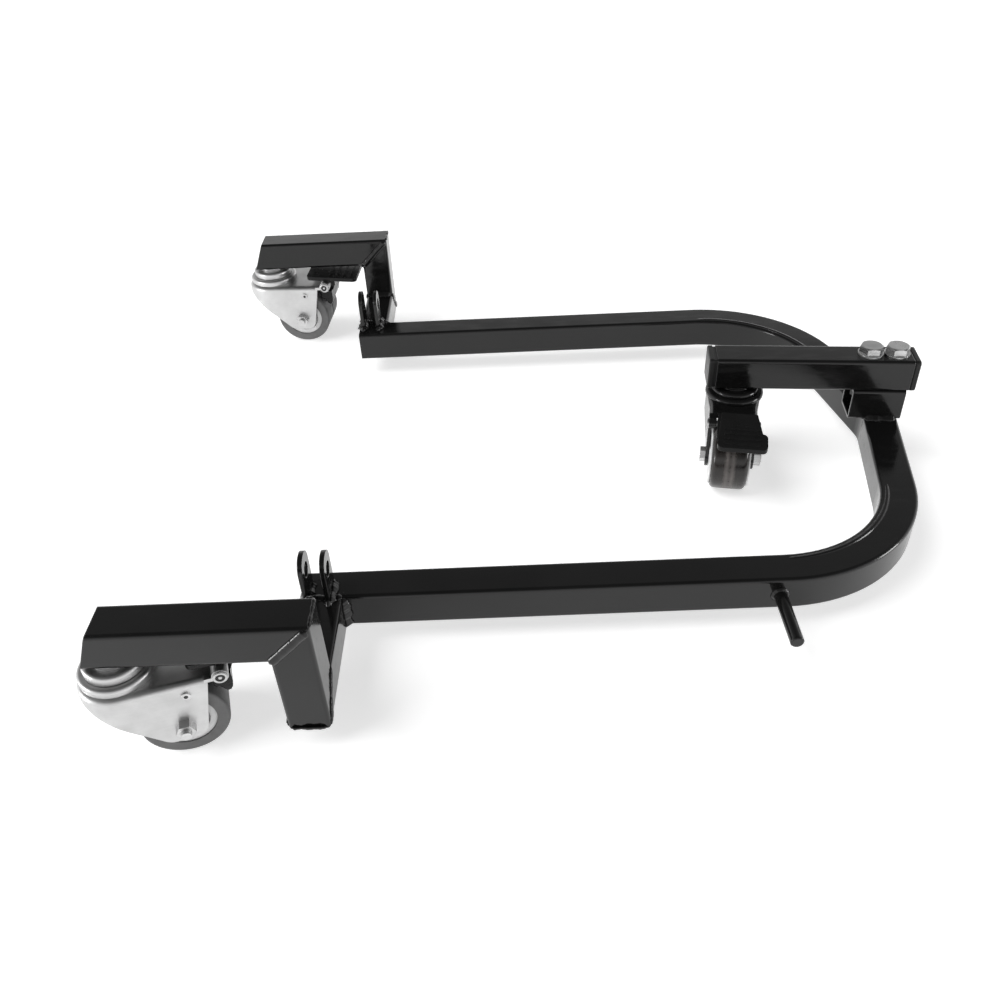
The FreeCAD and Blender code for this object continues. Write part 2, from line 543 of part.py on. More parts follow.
def build_tail_arm():
    bolt_hole = "Sizes.bolt_size / 2 + Sizes.bolt_hole_play"

    spacer = new_body("spacer_tube")
    section = new_sketch(spacer, "YZ_Plane", "section")
    tube_section(section, "0", HALF)
    pad(spacer, section, "Sizes.spacer_length", symmetric=True)
    holes = new_sketch(spacer, "XY_Plane", "bolt_holes", "Sizes.tube_width")
    circle(holes, "-Sizes.bolt_distance / 2", "0", bolt_hole)
    circle(holes, "Sizes.bolt_distance / 2", "0", bolt_hole)
    slot_cut(spacer, holes, "4 * Sizes.tube_wall")
    place_on_tail(spacer)

    arm = new_body("tail_arm")
    section = new_sketch(arm, "YZ_Plane", "section", "Sizes.tail_overhang")
    tube_section(section, "0", HALF)
    pad(arm, section, "Sizes.tail_arm_length", reverse=True)
    holes = new_sketch(arm, "XY_Plane", "bolt_holes")
    circle(holes, "-Sizes.bolt_distance / 2", "0", bolt_hole)
    circle(holes, "Sizes.bolt_distance / 2", "0", bolt_hole)
    pocket(arm, holes)
    hole = new_sketch(arm, "XY_Plane", "stud_hole")
    circle(hole, f"-{TAIL_SWIVEL_BACK}", "0", "Sizes.stud_size / 2 + Sizes.stud_play")
    slot_cut(arm, hole, "4 * Sizes.tube_wall")
    place_on_tail(arm, height="Sizes.tube_width")

    caps = new_body("tail_arm_caps")
    plug = f"({HALF} - Sizes.tube_wall - Sizes.cap_play)"
    hollow = f"({plug} - Sizes.cap_wall)"
    neck = f"({HALF} - Sizes.cap_groove)"
    for name, way, length in (("outer", 1, "Sizes.cap_groove"), ("inner", -1, "Sizes.cap_standoff")):
        end = f"{way} * Sizes.tail_arm_length / 2"
        section = new_sketch(caps, "YZ_Plane", f"{name}_plug", end)
        draw(section, box_corners(f"-{plug}", f"-{plug}", plug, plug, "Sizes.tube_corner - Sizes.tube_wall"))
        draw(section, box_corners(f"-{hollow}", f"-{hollow}", hollow, hollow))
        pad(caps, section, "Sizes.cap_plug", reverse=way > 0)
        section = new_sketch(caps, "YZ_Plane", f"{name}_neck", end)
        draw(section, box_corners(f"-{neck}", f"-{neck}", neck, neck, "Sizes.tube_corner - Sizes.cap_groove"))
        pad(caps, section, length, reverse=way < 0)
        flange_end = f"{end} + {way} * {length}"
        section = new_sketch(caps, "YZ_Plane", f"{name}_flange", flange_end)
        draw(section, box_corners(f"-{HALF}", f"-{HALF}", HALF, HALF, "Sizes.tube_corner"))
        flange = pad(caps, section, "Sizes.cap_flange", reverse=way < 0)
        tip = value(f"{flange_end} + {way} * Sizes.cap_flange")
        blend(caps, flange, "Sizes.cap_round", lambda edge: lies_at(edge, "x", tip))
    place_on_tail(caps, "Sizes.tail_overhang - Sizes.tail_arm_length / 2", f"Sizes.tube_width + {HALF}")


def build_tail_fasteners():
    """Two bolts down through the tail arm into the spacer, with washers above and nuts inside the spacer."""
    arm_top = "2 * Sizes.tube_width"
    grip = "Sizes.washer_thickness + Sizes.tube_width + Sizes.tube_wall"

    bolts = new_body("arm_bolts")
    sketch = new_sketch(bolts, "XY_Plane", "head")
    hexagon(sketch, "0", "0", "Sizes.bolt_flats")
    head = pad(bolts, sketch, "Sizes.bolt_head")
    bevel_hexagon(bolts, "Sizes.bolt_flats", "Sizes.bolt_head", "bevel")
    bevel = bolts.Tip
    sketch = new_sketch(bolts, "XY_Plane", "shank")
    circle(sketch, "0", "0", "Sizes.bolt_size / 2")
    shank = pad(bolts, sketch, f"{grip} + Sizes.bolt_nut + Sizes.bolt_tail", reverse=True)
    repeat(bolts, [head, bevel, shank], "X_Axis", "Sizes.bolt_distance")
    place_on_tail(bolts, "-Sizes.bolt_distance / 2", f"{arm_top} + Sizes.washer_thickness")

    washers = new_body("arm_washers")
    sketch = new_sketch(washers, "XY_Plane", "ring")
    circle(sketch, "0", "0", "Sizes.washer_width / 2")
    circle(sketch, "0", "0", "Sizes.bolt_size / 2 + Sizes.bolt_hole_play")
    ring = pad(washers, sketch, "Sizes.washer_thickness")
    repeat(washers, [ring], "X_Axis", "Sizes.bolt_distance")
    place_on_tail(washers, "-Sizes.bolt_distance / 2", arm_top)

    nuts = new_body("arm_nuts")
    sketch = new_sketch(nuts, "XY_Plane", "hexagon")
    hexagon(sketch, "0", "0", "Sizes.bolt_flats")
    circle(sketch, "0", "0", "Sizes.bolt_size / 2 + Sizes.thread_play")
    nut = pad(nuts, sketch, "Sizes.bolt_nut", reverse=True)
    repeat(nuts, [nut], "X_Axis", "Sizes.bolt_distance")
    place_on_tail(nuts, "-Sizes.bolt_distance / 2", "Sizes.tube_width - Sizes.tube_wall")


class Caster:
    """One caster: its place on the frame and the sizes of its kind."""

    def __init__(self, name, kind, x, y, turn, arm_turn, axle_turn):
        self.name = name
        self.kind = kind
        self.x = x
        self.y = y
        self.turn = turn
        self.arm_turn = arm_turn
        self.axle_turn = axle_turn
        self.underside = f"Sizes.{kind}_height"
        self.cup = f"Sizes.{kind}_cup_height"
        self.ring_top = f"({self.cup} + Sizes.head_gap)"
        self.plate_top = f"({self.ring_top} + Sizes.{kind}_ring_height)"
        self.plate_under = f"({self.plate_top} + Sizes.fork_plate)"
        self.lip_top = f"({self.plate_under} + Sizes.head_gap)"
        self.lip_under = f"({self.lip_top} + Sizes.king_lip_thickness)"
        self.trail = f"Sizes.{kind}_trail"
        self.wheel = f"(Sizes.{kind}_wheel / 2)"
        self.drop = f"({self.underside} - {self.wheel})"
        self.wheel_half = f"(Sizes.{kind}_wheel_gap / 2 + Sizes.{kind}_tread)"
        self.leg_inner = f"({self.wheel_half} + Sizes.{kind}_side_play)"
        self.leg_outer = f"({self.leg_inner} + Sizes.fork_plate)"
        self.leg_tip = f"({self.drop} + Sizes.fork_end_below)"

    def size(self, name):
        return f"Sizes.{self.kind}_{name}"

    def body(self, piece):
        return new_body(f"{self.name}_{piece}")

    def fix(self, body):
        """Stand a body on the swivel axis, square to the arm that carries the caster."""
        place(body, self.x, self.y, self.underside, self.arm_turn)

    def place(self, body, along="0", drop="0", turn="0"):
        """Stand a body at a point of the turned caster, below the arm that carries it."""
        place(body, f"{self.x} + cos({self.turn}) * ({along})", f"{self.y} + sin({self.turn}) * ({along})",
              f"{self.underside} - ({drop})", f"{self.turn} + {turn}")


def build_caster_fixing(caster):
    """Stud and nut that clamp the caster to its arm, and the fixed cup with its kingpin."""
    stud = caster.body("caster_stud")
    sketch = new_sketch(stud, "XY_Plane", "head", f"-{caster.lip_under}")
    hexagon(sketch, "0", "0", "Sizes.bolt_flats")
    pad(stud, sketch, "Sizes.bolt_head", reverse=True)
    sketch = new_sketch(stud, "XY_Plane", "shank", f"-{caster.lip_under}")
    circle(sketch, "0", "0", "Sizes.stud_size / 2")
    pad(stud, sketch, f"{caster.lip_under} + Sizes.tube_wall + Sizes.bolt_nut + Sizes.stud_tail")
    caster.fix(stud)

    nut = caster.body("stud_nut")
    sketch = new_sketch(nut, "XY_Plane", "hexagon", "Sizes.tube_wall")
    hexagon(sketch, "0", "0", "Sizes.bolt_flats")
    circle(sketch, "0", "0", "Sizes.stud_size / 2 + Sizes.thread_play")
    pad(nut, sketch, "Sizes.bolt_nut")
    caster.fix(nut)

    cup = caster.body("swivel_cup")
    bore = "Sizes.stud_size / 2 + Sizes.stud_play"
    radius = caster.size("cup_radius")
    sketch = new_sketch(cup, "XZ_Plane", "profile")
    draw(sketch, [(bore, "0"), ("Sizes.boss_radius", "0"), ("Sizes.boss_radius", "-Sizes.boss_height"),
                  (radius, "-Sizes.boss_height", "Sizes.dome_round"), (radius, f"-{caster.cup}"),
                  ("Sizes.king_radius", f"-{caster.cup}"), ("Sizes.king_radius", f"-{caster.lip_top}"),
                  ("Sizes.king_lip", f"-{caster.lip_top}"), ("Sizes.king_lip", f"-{caster.lip_under}"),
                  (bore, f"-{caster.lip_under}")])
    revolve(cup, sketch)
    caster.fix(cup)


def build_fork(caster):
    """Folded fork: rounded crown plate with a skirt, two tapered legs and rolled eyes for the brake pin."""
    ring = caster.body("race_ring")
    radius = caster.size("ring_radius")
    sketch = new_sketch(ring, "XZ_Plane", "profile")
    draw(sketch, [("Sizes.race_bore", f"-{caster.ring_top}"),
                  (radius, f"-{caster.ring_top}", "Sizes.dome_round"),
                  (radius, f"-{caster.plate_top}"), ("Sizes.race_bore", f"-{caster.plate_top}")])
    revolve(ring, sketch)
    caster.place(ring)

    fork = caster.body("fork")
    nose = caster.size("nose")
    back = caster.size("fork_back")
    corner = caster.size("nose_round")
    outer = caster.leg_outer
    inner = caster.leg_inner
    block_end = f"({back} + {caster.trail})"

    def plan(front, half, radius, end):
        """Outline of the fork from above, open sided at its end."""
        if caster.kind == "twin":
            return [(front, f"-{half}", radius), (end, f"-{half}"), (end, half), (front, half, radius)]
        wide = f"({half} + Sizes.fork_flare)"
        return [(front, f"-{wide}", radius), ("Sizes.flare_end", f"-{half}", "Sizes.flare_round"),
                (end, f"-{half}"), (end, half),
                ("Sizes.flare_end", half, "Sizes.flare_round"), (front, wide, radius)]

    crown = new_sketch(fork, "XY_Plane", "crown", f"-{caster.plate_top}")
    draw(crown, plan(f"-{nose}", outer, corner, block_end))
    block = pad(fork, crown, f"{caster.leg_tip} - {caster.plate_top}", reverse=True)
    height = -value(caster.plate_top)
    end = value(block_end)
    blend(fork, block, "Sizes.fork_bend",
          lambda edge: lies_at(edge, "z", height) and not lies_at(edge, "x", end))
    hollow = new_sketch(fork, "XY_Plane", "hollow", f"-{caster.leg_tip}")
    draw(hollow, plan(f"-({nose} - Sizes.fork_plate)", inner, f"{corner} - Sizes.fork_plate",
                      f"{block_end} + {OVERRUN}"))
    pocket(fork, hollow, f"{caster.leg_tip} - {caster.plate_under}", reverse=True)

    trim = new_sketch(fork, "XZ_Plane", "leg_outline")
    draw(trim, box_corners(f"-{OUTSIDE}", f"-{OUTSIDE}", f"{OUTSIDE}", f"{OUTSIDE}"))
    top = f"{OVERRUN} - {caster.plate_top}"
    ahead = f"-{nose} - {OVERRUN}"
    draw(trim, [(ahead, top), (ahead, f"-({caster.plate_top} + {caster.size('skirt')})"),
                (f"{caster.trail} - Sizes.fork_end_half", f"-{caster.leg_tip}", "Sizes.fork_end_round"),
                (f"{caster.trail} + Sizes.fork_end_half", f"-{caster.leg_tip}", "Sizes.fork_end_round"),
                (back, top)])
    pocket(fork, trim)

    pivot_x = caster.size("pivot_reach")
    pivot_z = f"-{caster.size('pivot_drop')}"
    strap = new_sketch(fork, "XZ_Plane", "strap")
    draw(strap, box_corners(f"{back} - Sizes.fork_plate", f"-{caster.plate_under}",
                            pivot_x, f"-{caster.plate_top}"))
    pad(fork, strap, f"2 * {outer}", symmetric=True)
    eye = new_sketch(fork, "XZ_Plane", "eye")
    circle(eye, pivot_x, pivot_z, caster.size("eye"))
    pad(fork, eye, f"2 * {outer}", symmetric=True)
    lug = new_sketch(fork, "XZ_Plane", "lug_gap")
    draw(lug, box_corners(back, f"{pivot_z} - 2 * {caster.size('eye')}",
                          f"{pivot_x} + 2 * {caster.size('eye')}", f"{pivot_z} + 2 * {caster.size('eye')}"))
    slot_cut(fork, lug, "2 * (Sizes.lug_half + Sizes.lug_play)")

    holes = new_sketch(fork, "XZ_Plane", "cross_holes")
    circle(holes, pivot_x, pivot_z, f"{caster.size('pin')} + Sizes.pin_seat")
    circle(holes, caster.trail, f"-{caster.drop}", "Sizes.axle_size / 2 + Sizes.axle_play")
    if caster.kind == "twin":
        circle(holes, "Sizes.rivet_reach", "-Sizes.rivet_drop", "Sizes.rivet_shank + Sizes.pin_seat")
    pocket(fork, holes)
    king = new_sketch(fork, "XY_Plane", "king_hole", f"-{caster.plate_top}")
    circle(king, "0", "0", "Sizes.king_radius + Sizes.king_play")
    slot_cut(fork, king, "4 * Sizes.fork_plate")
    caster.place(fork)


def build_axle(caster):
    outer = caster.leg_outer

    axle = caster.body("axle_bolt")
    sketch = new_sketch(axle, "XZ_Plane", "head", f"-{outer}")
    hexagon(sketch, "0", "0", "Sizes.axle_flats")
    pad(axle, sketch, "Sizes.axle_head", reverse=True)
    sketch = new_sketch(axle, "XZ_Plane", "shank", f"-{outer}")
    circle(sketch, "0", "0", "Sizes.axle_size / 2")
    pad(axle, sketch, f"2 * {outer} + Sizes.axle_nut + {caster.size('axle_tail')}")
    caster.place(axle, caster.trail, caster.drop, caster.axle_turn)

    nut = caster.body("axle_nut")
    sketch = new_sketch(nut, "XZ_Plane", "hexagon", outer)
    hexagon(sketch, "0", "0", "Sizes.axle_flats")
    circle(sketch, "0", "0", "Sizes.axle_size / 2 + Sizes.thread_play")
    pad(nut, sketch, "Sizes.axle_nut")
    caster.place(nut, caster.trail, caster.drop, caster.axle_turn)


def build_rivets(caster):
    rivets = caster.body("leg_rivets")
    sketch = new_sketch(rivets, "XZ_Plane", "shank", caster.leg_inner)
    circle(sketch, "0", "0", "Sizes.rivet_shank")
    shank = pad(rivets, sketch, "Sizes.fork_plate")
    sketch = new_sketch(rivets, "XZ_Plane", "head", caster.leg_outer)
    circle(sketch, "0", "0", "Sizes.rivet_head")
    head = pad(rivets, sketch, "Sizes.rivet_head_height")
    mirror(rivets, [shank, head], "XZ_Plane")
    caster.place(rivets, "Sizes.rivet_reach", "Sizes.rivet_drop")


def build_wheel(caster):
    """Hub with a dished web and a rim ring, and a tyre with rounded shoulders; two of each on a twin caster."""
    start = f"{caster.size('wheel_gap')} / 2"
    end = caster.wheel_half
    bore = "Sizes.axle_size / 2 + Sizes.axle_run"
    rim = caster.size("hub")
    face = f"{end} - Sizes.hub_lip"
    web = f"{face} - Sizes.hub_dish"

    hub = caster.body("wheel_hub")
    sketch = new_sketch(hub, "XY_Plane", "profile")
    draw(sketch, [(bore, start), (rim, start), (rim, face), (f"{rim} - Sizes.hub_rim", face),
                  (f"{rim} - Sizes.hub_rim", web), ("Sizes.hub_boss", web),
                  ("Sizes.hub_boss", f"{caster.leg_inner} - Sizes.hub_gap"),
                  (bore, f"{caster.leg_inner} - Sizes.hub_gap")])
    half = revolve(hub, sketch)
    mirror(hub, [half], "XZ_Plane")
    caster.place(hub, caster.trail, caster.drop)

    tyre = caster.body("wheel_tyre")
    inside = f"{rim} + Sizes.tyre_seat"
    sketch = new_sketch(tyre, "XY_Plane", "profile")
    draw(sketch, [(inside, start), (caster.wheel, start),
                  (caster.wheel, end, caster.size("shoulder")), (inside, end)])
    half = revolve(tyre, sketch)
    mirror(tyre, [half], "XZ_Plane")
    caster.place(tyre, caster.trail, caster.drop)


def build_brake(caster):
    """Pin across the fork's eyes, and the moulded pedal that turns on it with its shoe over the tread."""
    outer = caster.leg_outer
    pin_radius = caster.size("pin")

    pin = caster.body("brake_pin")
    sketch = new_sketch(pin, "XZ_Plane", "shank")
    circle(sketch, "0", "0", pin_radius)
    shank = pad(pin, sketch, f"2 * {outer}", symmetric=True)
    sketch = new_sketch(pin, "XZ_Plane", "head", outer)
    circle(sketch, "0", "0", f"{pin_radius} + Sizes.pin_head")
    head = pad(pin, sketch, "Sizes.pin_head_thickness")
    mirror(pin, [shank, head], "XZ_Plane")
    caster.place(pin, caster.size("pivot_reach"), caster.size("pivot_drop"))

    pedal = caster.body("brake_pedal")
    front = f"-{caster.size('pedal_front')}"
    back = caster.size("pedal_back")
    rise = caster.size("pedal_rise")
    fall = caster.size("pedal_fall")
    slope = f"(({fall} - {rise}) / ({back} - ({front})))"

    def under(along):
        """Height of the plate's underside at a place along it."""
        return f"({rise} + {slope} * ({along} - ({front})))"

    half = f"{caster.size('pedal_width')} / 2"
    shift = caster.size("pedal_shift")
    low = f"{shift} - {half}"
    high = f"{shift} + {half}"
    plan = [(back, low, "Sizes.pedal_corner"), (back, high, "Sizes.pedal_corner")]
    if caster.kind == "single":
        neck = f"({back} - Sizes.pedal_tread)"
        plan += [(neck, high, "Sizes.pedal_corner"), (neck, "Sizes.pedal_neck"), (front, "Sizes.pedal_root"),
                 (front, "-Sizes.pedal_root_inner")]
    else:
        plan += [(front, high, "Sizes.pedal_corner"), (front, low, "Sizes.pedal_corner")]
    sketch = new_sketch(pedal, "XY_Plane", "plan")
    draw(sketch, plan)
    pad(pedal, sketch, f"2 * {half}", symmetric=True)
    sketch = new_sketch(pedal, "XZ_Plane", "plate")
    draw(sketch, box_corners(f"-{OUTSIDE}", f"-{OUTSIDE}", f"{OUTSIDE}", f"{OUTSIDE}"))
    ahead = f"({front} - {OVERRUN})"
    beyond = f"({back} + {OVERRUN})"
    draw(sketch, [(ahead, under(ahead)), (beyond, under(beyond)),
                  (beyond, f"{under(beyond)} + Sizes.pedal_thickness"),
                  (ahead, f"{under(ahead)} + Sizes.pedal_thickness")])
    pocket(pedal, sketch)

    lap = "Sizes.pedal_thickness / 2"
    lug = caster.size("eye")
    toe = f"-{caster.size('shoe_reach')}"
    tip = f"-{caster.size('shoe_drop')}"
    heel = caster.size("shoe_heel")
    shoe_top = f"-{caster.size('shoe_top')}"
    web = caster.size("web_back")
    root = f"({web} + 2 * {caster.size('web_fillet')})"
    sketch = new_sketch(pedal, "XZ_Plane", "web")
    draw(sketch, [(f"-{lug}", f"{under(f'-{lug}')} + {lap}"), (f"-{lug}", "0"), (toe, f"{shoe_top} - {lap}"),
                  (heel, f"{shoe_top} - {lap}"), (web, f"-{caster.size('web_drop')}"),
                  (web, under(web), caster.size("web_fillet")), (root, under(root)),
                  (root, f"{under(root)} + {lap}")])
    pad(pedal, sketch, "2 * Sizes.lug_half", symmetric=True)
    sketch = new_sketch(pedal, "XZ_Plane", "lug")
    circle(sketch, "0", "0", lug)
    pad(pedal, sketch, "2 * Sizes.lug_half", symmetric=True)
    sketch = new_sketch(pedal, "XZ_Plane", "shoe")
    draw(sketch, [(toe, shoe_top), (toe, tip, "Sizes.shoe_round"),
                  (heel, tip, "Sizes.shoe_round"), (heel, shoe_top)])
    pad(pedal, sketch, f"2 * {caster.size('shoe_half')}", symmetric=True)

    sketch = new_sketch(pedal, "XZ_Plane", "grips", f"-{shift}")
    for rib in range(GRIP_RIBS):
        first = f"({back} - {caster.size('grip_pitch')} * {rib + 1})"
        last = f"({first} + Sizes.grip_width)"
        crest = "Sizes.pedal_thickness + Sizes.grip_height"
        draw(sketch, [(first, f"{under(first)} + {lap}"), (last, f"{under(last)} + {lap}"),
                      (last, f"{under(last)} + {crest}"), (first, f"{under(first)} + {crest}")])
    pad(pedal, sketch, f"2 * ({half} - Sizes.grip_margin)", symmetric=True)
    sketch = new_sketch(pedal, "XZ_Plane", "bore")
    circle(sketch, "0", "0", f"{pin_radius} + Sizes.pin_run")
    pocket(pedal, sketch)
    caster.place(pedal, caster.size("pivot_reach"), caster.size("pivot_drop"))


def check_and_write():
    """Refuse failed objects and broken shapes, then write each sub-part to its own file."""
    doc.recompute()
    for item in doc.Objects:
        if "Invalid" in item.State or "Error" in item.State:
            raise RuntimeError(f"{item.Label} failed: {item.State}")
    for body in sub_parts:
        if body.Shape.isNull() or not body.Shape.isValid() or not body.Shape.Solids:
            raise RuntimeError(f"{body.Label} has no valid solid")
    os.makedirs("parts", exist_ok=True)
    for body in sub_parts:
        body.Shape.exportStep(f"parts/{body.Label}.step")


SIDES = (("near", -1), ("far", 1))
CASTER_X = f"(-{CASTER_REACH} - Sizes.reference_x)"
TAIL_X = f"({SPACER_X} - cos(Sizes.tail_turn) * {TAIL_SWIVEL_BACK})"
TAIL_Y = f"(Sizes.spacer_offset + sin(Sizes.tail_turn) * {TAIL_SWIVEL_BACK})"
CASTERS = (
    Caster("near", "twin", CASTER_X, f"(-{BRACKET_Y})", "Sizes.near_swivel", "0", "0"),
    Caster("far", "twin", CASTER_X, BRACKET_Y, "Sizes.far_swivel", "0", "0"),
    Caster("tail", "single", TAIL_X, TAIL_Y, "Sizes.tail_swivel", "-Sizes.tail_turn", "180"),
)

build_u_tube()
for side, sign in SIDES:
    build_bracket(side, sign)
    build_ears(side, sign)
build_peg()
build_tail_arm()
build_tail_fasteners()
for caster in CASTERS:
    build_caster_fixing(caster)
    build_fork(caster)
    build_axle(caster)
    if caster.kind == "twin":
        build_rivets(caster)
    build_wheel(caster)
    build_brake(caster)
check_and_write()
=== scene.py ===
"""Looks of the mover dolly: gloss black tube frame with weld beads and three casters, on a pale floor."""

import bmesh
import bpy
import json
import math
import random
from mathutils import Matrix, Vector


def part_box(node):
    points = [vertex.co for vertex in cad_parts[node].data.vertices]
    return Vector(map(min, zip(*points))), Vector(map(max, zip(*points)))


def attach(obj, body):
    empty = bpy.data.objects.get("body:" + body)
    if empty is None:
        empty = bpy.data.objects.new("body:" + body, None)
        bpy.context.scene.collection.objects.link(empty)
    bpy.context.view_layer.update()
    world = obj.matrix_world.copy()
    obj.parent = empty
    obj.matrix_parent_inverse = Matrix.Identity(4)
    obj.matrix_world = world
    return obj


# pieces are worked out in millimetres of the row frame, and add_piece scales them to Blender's metres
MM = 0.001
UP = Vector((0, 0, 1))
SIDES = (("near", -1), ("far", 1))
ENDS = (("left", -1), ("right", 1))
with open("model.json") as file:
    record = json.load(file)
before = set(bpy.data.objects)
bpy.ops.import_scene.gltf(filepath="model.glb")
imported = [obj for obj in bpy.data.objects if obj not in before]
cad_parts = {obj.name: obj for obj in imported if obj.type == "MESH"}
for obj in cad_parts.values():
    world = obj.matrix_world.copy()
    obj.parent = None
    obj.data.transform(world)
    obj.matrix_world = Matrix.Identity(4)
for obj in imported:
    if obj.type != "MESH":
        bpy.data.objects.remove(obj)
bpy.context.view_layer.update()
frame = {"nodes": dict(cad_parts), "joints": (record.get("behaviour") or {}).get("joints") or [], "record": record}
joints = {joint["name"]: joint for joint in frame["joints"]}


# materials


# share of a soft band that is at full strength
BAND_CORE = 0.1


class Finish:
    """A principled material with helpers for the procedural detail that feeds it."""

    def __init__(self, name, color, roughness, metallic=0.0):
        self.material = bpy.data.materials.new(name)
        self.material.use_nodes = True
        self.tree = self.material.node_tree
        self.shader = self.tree.nodes["Principled BSDF"]
        self.fix("Base Color", (*color, 1))
        self.fix("Roughness", roughness)
        self.fix("Metallic", metallic)
        self.place = self.tree.nodes.new("ShaderNodeTexCoord").outputs["Object"]

    def fix(self, name, value):
        """Give a socket of the shader one value all over."""
        self.shader.inputs[name].default_value = value

    def set(self, name, value):
        """Let another node's output drive a socket of the shader."""
        self.tree.links.new(value, self.shader.inputs[name])

    def node(self, kind, inputs, **settings):
        """New node; each of its inputs is a plain value or the output of another node."""
        made = self.tree.nodes.new(kind)
        for key, setting in settings.items():
            setattr(made, key, setting)
        for key, value in inputs.items():
            if isinstance(value, bpy.types.NodeSocket):
                self.tree.links.new(value, made.inputs[key])
            else:
                made.inputs[key].default_value = value
        return made

    def noise(self, scale, detail=4.0, roughness=0.55, stretch=None):
        """Noise over the row frame's coordinates, which stretch scales apart along the axes."""
        place = self.place
        if stretch is not None:
            place = self.node("ShaderNodeMapping", {"Vector": place, "Scale": stretch}).outputs["Vector"]
        inputs = {"Vector": place, "Scale": scale, "Detail": detail, "Roughness": roughness}
        return self.node("ShaderNodeTexNoise", inputs).outputs["Fac"]

    def ramp(self, value, low, high, start=0.3, end=0.7):
        """Spread the values from start to end between two numbers."""
        inputs = {"Value": value, "From Min": start, "From Max": end, "To Min": low, "To Max": high}
        return self.node("ShaderNodeMapRange", inputs).outputs["Result"]

    def reckon(self, operation, *values):
        """One step of arithmetic."""
        return self.node("ShaderNodeMath", dict(enumerate(values)), operation=operation).outputs["Value"]

    def mix(self, value, first, second):
        """Blend two colours by a value."""
        inputs = {"Factor": value, "A": first, "B": second}
        return self.node("ShaderNodeMix", inputs, data_type="RGBA").outputs["Result"]

    def clouded(self, dark, light, **noise):
        """Colour that drifts between two colours."""
        return self.mix(self.ramp(self.noise(**noise), 0.0, 1.0), (*dark, 1), (*light, 1))

    def bump(self, height, strength, distance, below):
        """Relief on top of the normal that another node gives."""
        inputs = {"Height": height, "Strength": strength, "Distance": distance, "Normal": below}
        return self.node("ShaderNodeBump", inputs).outputs["Normal"]

    def soft_edge(self, radius):
        """Normal that rounds the edges off."""
        return self.node("ShaderNodeBevel", {"Radius": radius}, samples=6).outputs["Normal"]

    def band(self, centre, axis, half):
        """1 in the plane across axis through centre, fading to 0 at the distance half to either side."""
        along = self.node("ShaderNodeVectorMath", {0: self.place, 1: axis}, operation="DOT_PRODUCT")
        offset = self.reckon("SUBTRACT", along.outputs["Value"], centre.dot(axis))
        return self.ramp(self.reckon("ABSOLUTE", offset), 1.0, 0.0, start=half * BAND_CORE, end=half)


# radius by which the shading rounds edges off
TUBE_EDGE = 1.1 * MM
SMALL_EDGE = 0.4 * MM
# two lighter brownish streaks along a tread: colour, each streak's place beside the middle and half its width, and
# loss of gloss
TREAD_STREAK_COLOR = (0.20, 0.18, 0.17)
TREAD_STREAK_OFFSET = 2.1 * MM
TREAD_STREAK_HALF = 2.6 * MM
TREAD_STREAK_DULLNESS = 0.5


def grey(value):
    return (value, value, value)


def paint_finish(name, shade, rough):
    """Gloss black coating over slightly wavy tube, with a faint orange peel and a few fine scuffs."""
    made = Finish(name, grey(shade), rough[0])
    made.set("Base Color", made.clouded(grey(shade * 0.8), grey(shade * 1.25), scale=18.0, detail=5.0))
    scuffs = made.noise(scale=240.0, detail=2.0, stretch=(0.25, 1.0, 1.0))
    made.set("Roughness", made.ramp(scuffs, *rough, start=0.45, end=0.8))
    waves = made.noise(scale=26.0, detail=1.0)
    wavy = made.bump(waves, strength=0.15, distance=1.2 * MM, below=made.soft_edge(TUBE_EDGE))
    peel = made.noise(scale=520.0, detail=2.0)
    made.set("Normal", made.bump(peel, strength=0.05, distance=0.22 * MM, below=wavy))
    made.fix("Specular IOR Level", 0.42)
    return made.material


def zinc_finish(name, dark, light, rough):
    """Plated steel: clouded plating, faint drawing lines and a fine grain."""
    made = Finish(name, grey(light), rough[0], metallic=1.0)
    made.set("Base Color", made.clouded(grey(dark), grey(light), scale=45.0, detail=6.0, roughness=0.6))
    lines = made.noise(scale=300.0, detail=3.0, stretch=(0.15, 0.15, 2.0))
    made.set("Roughness", made.ramp(lines, *rough, start=0.35, end=0.7))
    grain = made.noise(scale=1400.0, detail=2.0)
    made.set("Normal", made.bump(grain, strength=0.06, distance=0.1 * MM, below=made.soft_edge(SMALL_EDGE)))
    return made.material


def plastic_finish(name, shade, rough, grain_scale, grain_depth, shine=0.5):
    """Moulded plastic with a fine spark-eroded grain."""
    made = Finish(name, grey(shade), rough[0])
    made.set("Base Color", made.clouded(grey(shade * 0.85), grey(shade * 1.15), scale=70.0))
    made.set("Roughness", made.ramp(made.noise(scale=180.0), *rough))
    grain = made.noise(scale=grain_scale, detail=3.0)
    edge = made.soft_edge(SMALL_EDGE)
    made.set("Normal", made.bump(grain, strength=0.15, distance=grain_depth, below=edge))
    made.fix("Specular IOR Level", shine)
    return made.material


